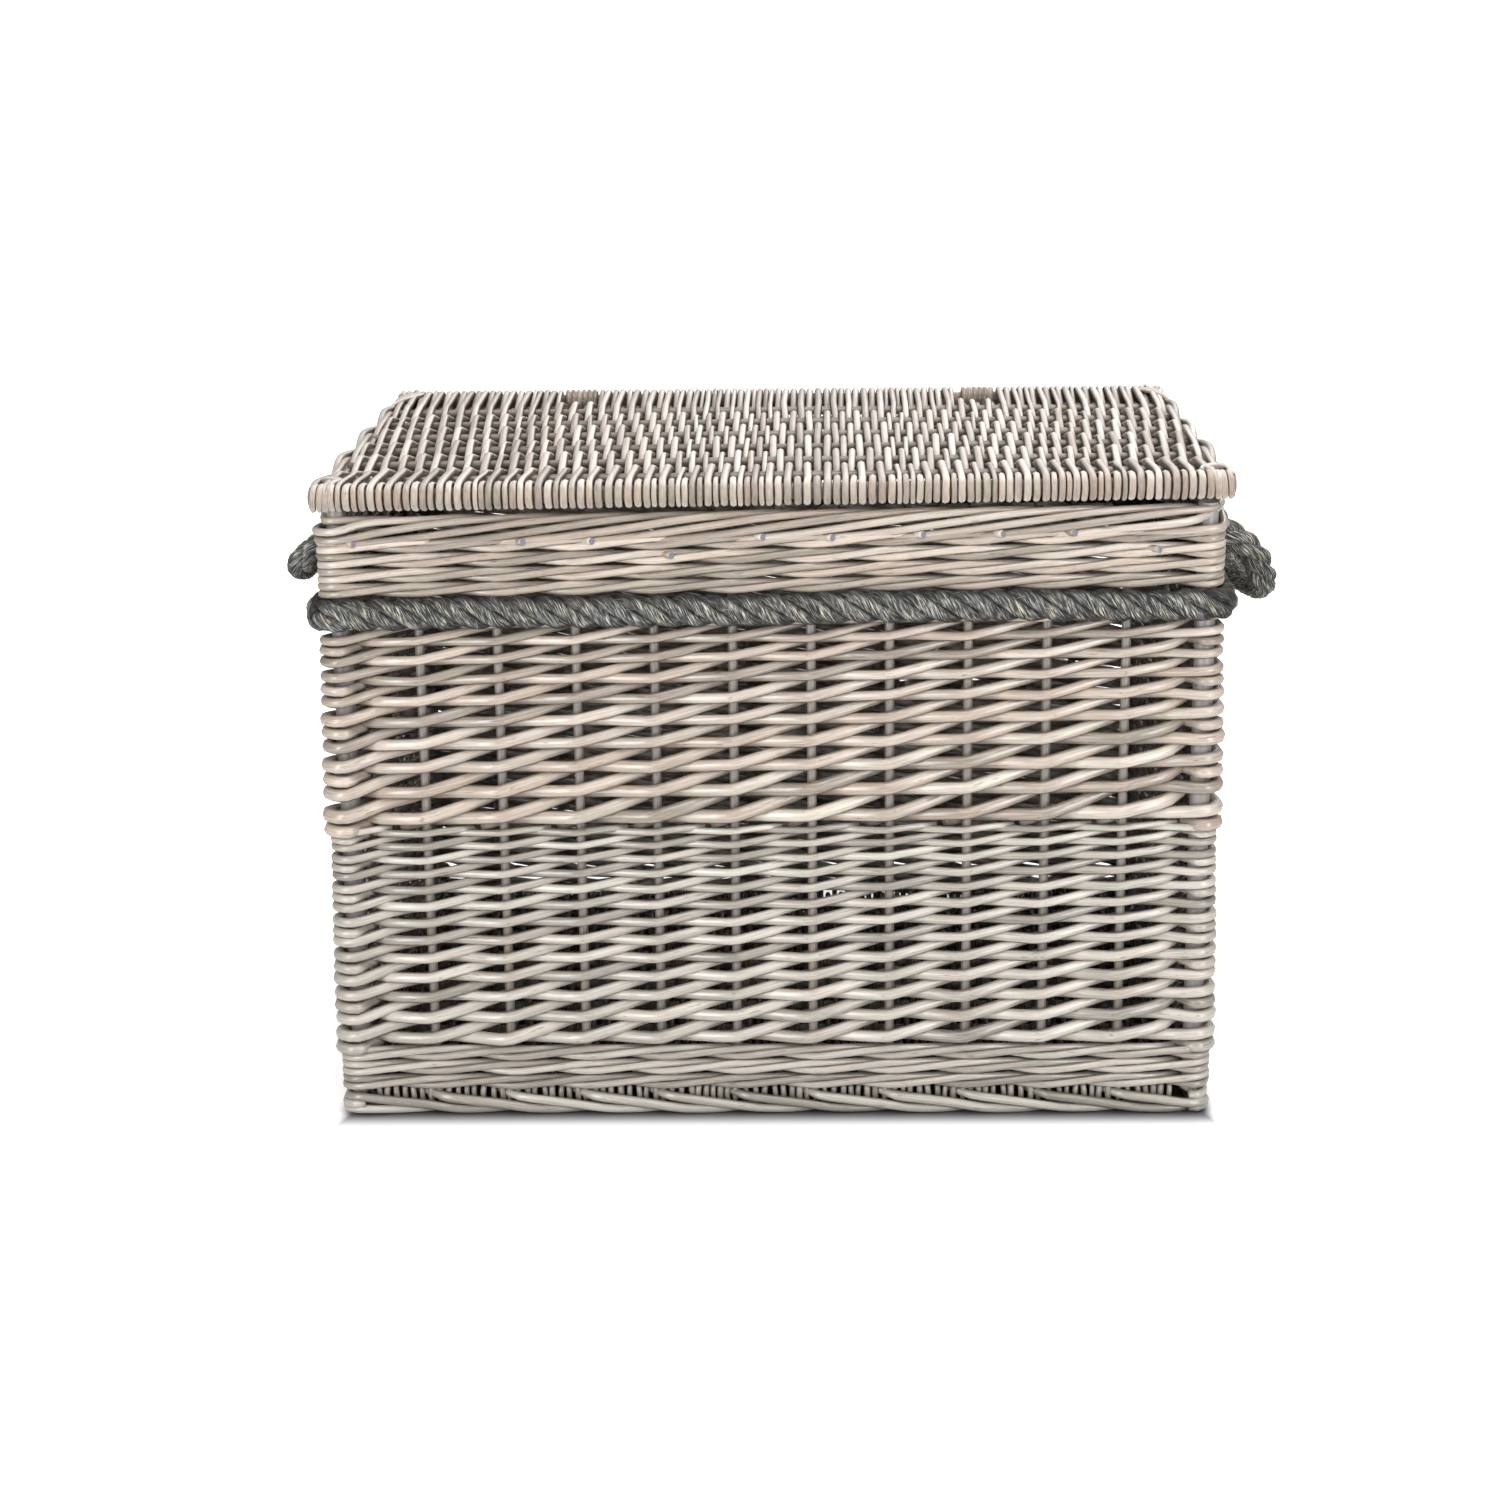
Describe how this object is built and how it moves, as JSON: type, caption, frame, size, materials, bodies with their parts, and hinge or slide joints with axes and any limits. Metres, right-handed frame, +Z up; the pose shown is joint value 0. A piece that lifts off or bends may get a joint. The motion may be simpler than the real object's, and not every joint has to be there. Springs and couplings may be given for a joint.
{
  "type": "laundry hamper with lid",
  "caption": "Rectangular woven willow laundry hamper with a hinged flat lid, a rope band round the body and a rope handle on each end wall.",
  "frame": {"origin": "centre of the body's footprint on the floor, under the foot border", "axes": "+X to the right seen from the front, +Y to the back where the lid hinges, +Z up"},
  "size_m": [0.7938, 0.49, 0.4911],
  "materials": {
    "corner_post_willow": "grey-washed willow pole, satin",
    "stake_willow": "grey-tan willow rod, satin",
    "base_willow": "grey-washed willow rod, satin",
    "lower_willow": "greenish grey antique-washed willow rod, satin",
    "upper_willow": "beige-grey antique-washed willow rod, satin",
    "lid_willow": "pale pinkish grey washed willow rod, satin",
    "hinge_willow": "twisted split willow",
    "dark_rope": "three-strand twisted rope, charcoal with straw fibres"
  },
  "bodies": {
    "basket": {"front_left_post": "corner_post_willow", "front_right_post": "corner_post_willow", "back_left_post": "corner_post_willow", "back_right_post": "corner_post_willow", "front_stakes": "stake_willow", "back_stakes": "stake_willow", "left_stakes": "stake_willow", "right_stakes": "stake_willow", "base_sticks": "stake_willow", "base_weave": "base_willow", "foot_border": "lower_willow", "lower_wale": "lower_willow", "front_lower_siding": "lower_willow", "back_lower_siding": "lower_willow", "left_lower_siding": "lower_willow", "right_lower_siding": "lower_willow", "front_upper_siding": "upper_willow", "back_upper_siding": "upper_willow", "left_upper_siding": "upper_willow", "right_upper_siding": "upper_willow", "lower_corner_weave": "lower_willow", "upper_corner_weave": "upper_willow", "rope_band": "dark_rope", "upper_wale": "upper_willow", "top_border": "upper_willow", "left_hinge_loop": "hinge_willow", "right_hinge_loop": "hinge_willow", "left_handle_ends": "dark_rope", "right_handle_ends": "dark_rope"},
    "lid": {"lid_front_stick": "stake_willow", "lid_back_stick": "stake_willow", "lid_inner_sticks": "stake_willow", "lid_weave": "lid_willow", "lid_left_edge": "lid_willow", "lid_right_edge": "lid_willow", "lid_corner_bindings": "lid_willow"},
    "left_handle": {"left_rope_handle": "dark_rope"},
    "right_handle": {"right_rope_handle": "dark_rope"}
  },
  "joints": [
    {"name": "lid_hinge", "type": "hinge", "parent": "basket", "child": "lid", "pos_m": [0, 0.23022, 0.4803], "axis": [-1, 0, 0], "range_deg": [0, 105]},
    {"name": "left_handle_swing", "type": "hinge", "parent": "basket", "child": "left_handle", "pos_m": [-0.3423, 0, 0.421], "axis": [0, 1, 0], "range_deg": [0, 100]},
    {"name": "right_handle_swing", "type": "hinge", "parent": "basket", "child": "right_handle", "pos_m": [0.3423, 0, 0.421], "axis": [0, -1, 0], "range_deg": [0, 100]}
  ]
}
